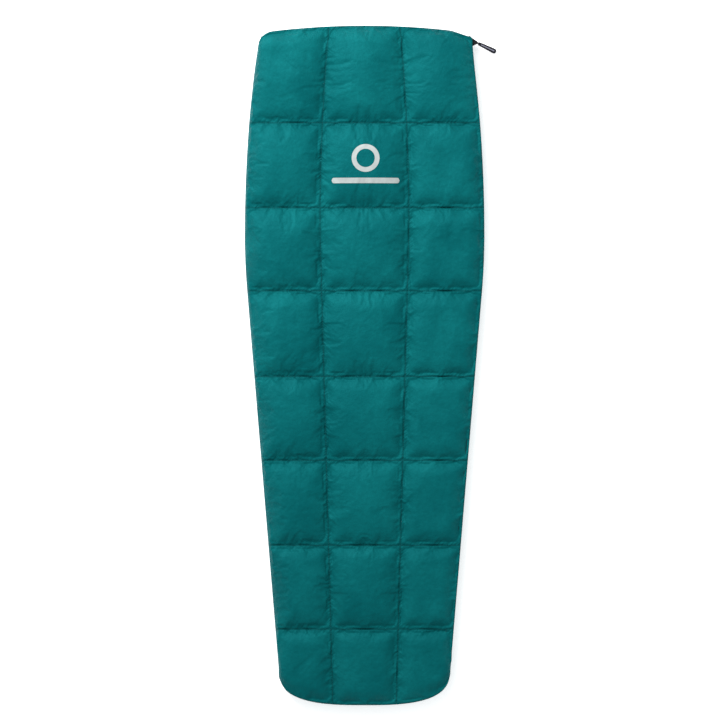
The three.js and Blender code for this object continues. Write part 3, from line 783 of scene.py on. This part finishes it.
def make_tape_end(side, name):
    """The tape's upper end, folded over into a triangle that stands out past the quilt's edge."""
    upper, lower, tip = np.array([[0.3085, 0.029], [0.3105, 0.0615], [0.334, 0.0485]])
    half_thick = 0.0005
    u, v = np.meshgrid(np.linspace(0, 1, 13), np.linspace(-1, 1, 11), indexing="ij")
    base = upper + (lower - upper) * 0.5
    spread = (lower - upper) * 0.5
    width = 1 - 0.86 * u
    plan = base + (tip - base) * u[..., None] + spread * (v * width)[..., None]
    rise = 0.0066 - 0.0008 * u - 0.0008 * v**2 + 0.0003 * np.sin(9 * u + 4 * v)
    top = np.stack([plan[..., 0], HEAD_Y - plan[..., 1], MID + side * (rise + half_thick)], -1)
    low = np.stack([plan[..., 0], HEAD_Y - plan[..., 1], MID + side * (rise - half_thick)], -1)
    ring = np.concatenate([top, low[:, ::-1], top[:, :1]], 1)
    finish_piece(add_sheet(f"{name}_tape_end", ring, tape_weave, side < 0), f"{name}_layer", "zip_tape")


def make_draft_tube():
    """A slim padded tube along the inside of the zip, gathered every so often and closed at both ends."""
    start = 0.07
    s = np.linspace(start, ZIP_TURN, 420)
    turns = np.linspace(0, 2 * np.pi, 25)
    ends = np.minimum(1, np.minimum(s - start, ZIP_TURN - s) / 0.012)
    size = np.sqrt(np.clip(1 - (1 - ends) ** 2, 0.02, 1))[:, None]
    folds = noise(s[:, None] / 0.012 + 0.4 * np.sin(turns), np.repeat(turns[None], len(s), 0) / 2.0, 23)
    folds[:, -1] = folds[:, 0]
    out = -0.0155 + (0.0103 + 0.0005 * folds) * size * np.cos(turns)
    rise = (0.0031 + 0.0003 * folds) * size * np.sin(turns)
    y = np.broadcast_to((HEAD_Y - s)[:, None], out.shape)
    grid = np.stack([zip_arc(s)[:, None] + out, y, MID + rise], -1)
    tube = add_sheet("draft_tube_cloth", grid, liner_cloth, True)
    # The zero on the tube's outer side puts the cloth material's painted seam shade along it as a dark line.
    add_fields(tube, along=np.broadcast_to(np.abs(np.sin(turns / 2)) * 0.02, out.shape))
    finish_piece(tube, "front_layer", "liner_fabric", "draft_tube")


# ---------------------------------------------------------------- print


def make_print(front):
    """A plain ring over a rounded bar, printed on the second row's middle chamber."""
    faces = quads(*front.grid.shape[:2])
    tree = BVHTree.FromPolygons(front.grid.reshape(-1, 3).tolist(), faces.tolist())

    def on_shell(x, y):
        hits = [tree.ray_cast(Vector((a, b, 1)), Vector((0, 0, -1)))[0] for a, b in zip(x.ravel(), y.ravel())]
        z = np.array([h.z for h in hits]).reshape(x.shape)
        return np.stack([x, y, z + 0.0003], -1)

    middle, centre = 0.003, HEAD_Y - 0.5 * (SEAMS[0] + SEAMS[1])
    turn, radius = np.meshgrid(np.linspace(0, 2 * np.pi, 73), np.linspace(0.027, 0.041, 7), indexing="ij")
    ring = on_shell(middle + radius * np.sin(turn), centre + 0.02 + radius * np.cos(turn))
    length, width = np.meshgrid(np.linspace(-1, 1, 81), np.linspace(-1, 1, 7), indexing="ij")
    taper = np.sqrt(np.clip(1 - np.clip((np.abs(length) - 0.93) / 0.07, 0, 1) ** 2, 0, 1))
    bar = on_shell(middle + 0.1 * length, centre - 0.046 + 0.008 * width * taper)
    for name, grid in (("print_ring", ring), ("print_bar", bar)):
        finish_piece(add_sheet(name, grid, print_ink, True), "front_layer", "shell_fabric")


# ---------------------------------------------------------------- CAD nodes that stay


def dress_cad_nodes():
    """Gives the CAD nodes that stay their material, and rounds the hard ones' edges."""
    looks = {
        "zip_tape": (tape_weave, 0),
        "top_stop": (slider_paint, 0.0003),
        "zip_slider": (slider_paint, 0.0004),
        "slider_tab": (slider_paint, 0.0003),
        "pull_cord": (cord_braid, 0),
        "pull_grip": (grip_rubber, 0.0013),
        "pull_inlay": (inlay_rubber, 0.0004),
        "_down_": (down_fluff, 0),
    }
    for name, node in frame["nodes"].items():
        for part, (material, rounding) in looks.items():
            if part in name:
                node.data.materials.clear()
                node.data.materials.append(material)
                if rounding:
                    bevel = node.modifiers.new("rounding", "BEVEL")
                    bevel.width = rounding
                    bevel.segments = 3
                    bevel.limit_method = "ANGLE"


# ---------------------------------------------------------------- camera, light and floor


def make_camera():
    """Straight down on the quilt's upper face, from far enough to look almost parallel."""
    view_width, distance = 2.1197, 10.0
    camera = bpy.data.cameras.new("camera")
    camera.lens = camera.sensor_width * distance / view_width
    camera.clip_end = 50
    view = bpy.data.objects.new("camera", camera)
    view.location = (-0.0134, HEAD_Y - 0.9835, MID + 0.011 + distance)
    bpy.context.scene.collection.objects.link(view)
    bpy.context.scene.camera = view
    bpy.context.scene.view_settings.view_transform = "Standard"


def make_lights():
    world = bpy.data.worlds.new("studio")
    bpy.context.scene.world = world
    world.use_nodes = True
    world.node_tree.nodes["Background"].inputs["Color"].default_value = (0.95, 0.98, 1, 1)
    world.node_tree.nodes["Background"].inputs["Strength"].default_value = 0.68
    for name, place, size, power in (
        ("key", (-2.0, 3.1, 3.0), 2.0, 200),
        ("top", (-0.9, 1.8, 2.4), 2.0, 36),
    ):
        lamp = bpy.data.lights.new(name, "AREA")
        lamp.size = size
        lamp.energy = power
        obj = bpy.data.objects.new(name, lamp)
        obj.location = place
        obj.rotation_euler = (Vector((0, 0, 0)) - obj.location).to_track_quat("-Z", "Y").to_euler()
        bpy.context.scene.collection.objects.link(obj)


def make_floor():
    """A plain white floor with a little light of its own, which keeps shadows on it faint."""
    glow = {"Emission Color": (1, 1, 1, 1), "Emission Strength": 0.5}
    floor_paint = plain_material("floor_paint", (0.93, 0.93, 0.93), 0.9, 40, 0.0001, 0.01, **glow)
    size = 12
    corners = [(-size, -size, 0), (size, -size, 0), (size, size, 0), (-size, size, 0)]
    floor = add_mesh("floor", corners, [(0, 1, 2, 3)], floor_paint)
    floor.location.z = -0.0003


make_camera()
make_lights()
make_floor()
front, back = make_shells()
make_side_fold(front, back)
front_liner, back_liner = make_liners()
make_fold_liner(front_liner, back_liner)
for quilting, lining, side, name in ((front, front_liner, 1, "front"), (back, back_liner, -1, "back")):
    make_facing(quilting, side, name)
    make_head_hem(quilting, side, name)
    make_coil(side, name)
    make_tape_end(side, name)
    body, seams = f"{name}_layer", quilting.stitch_lines(first=quilting.columns[1])
    make_stitches(f"{name}_shell_stitches", seams, side, body, "shell_fabric", thread)
    make_stitches(f"{name}_liner_stitches", lining.stitch_lines(), -side, body, "liner_fabric", liner_thread)
make_draft_tube()
make_print(front)
dress_cad_nodes()
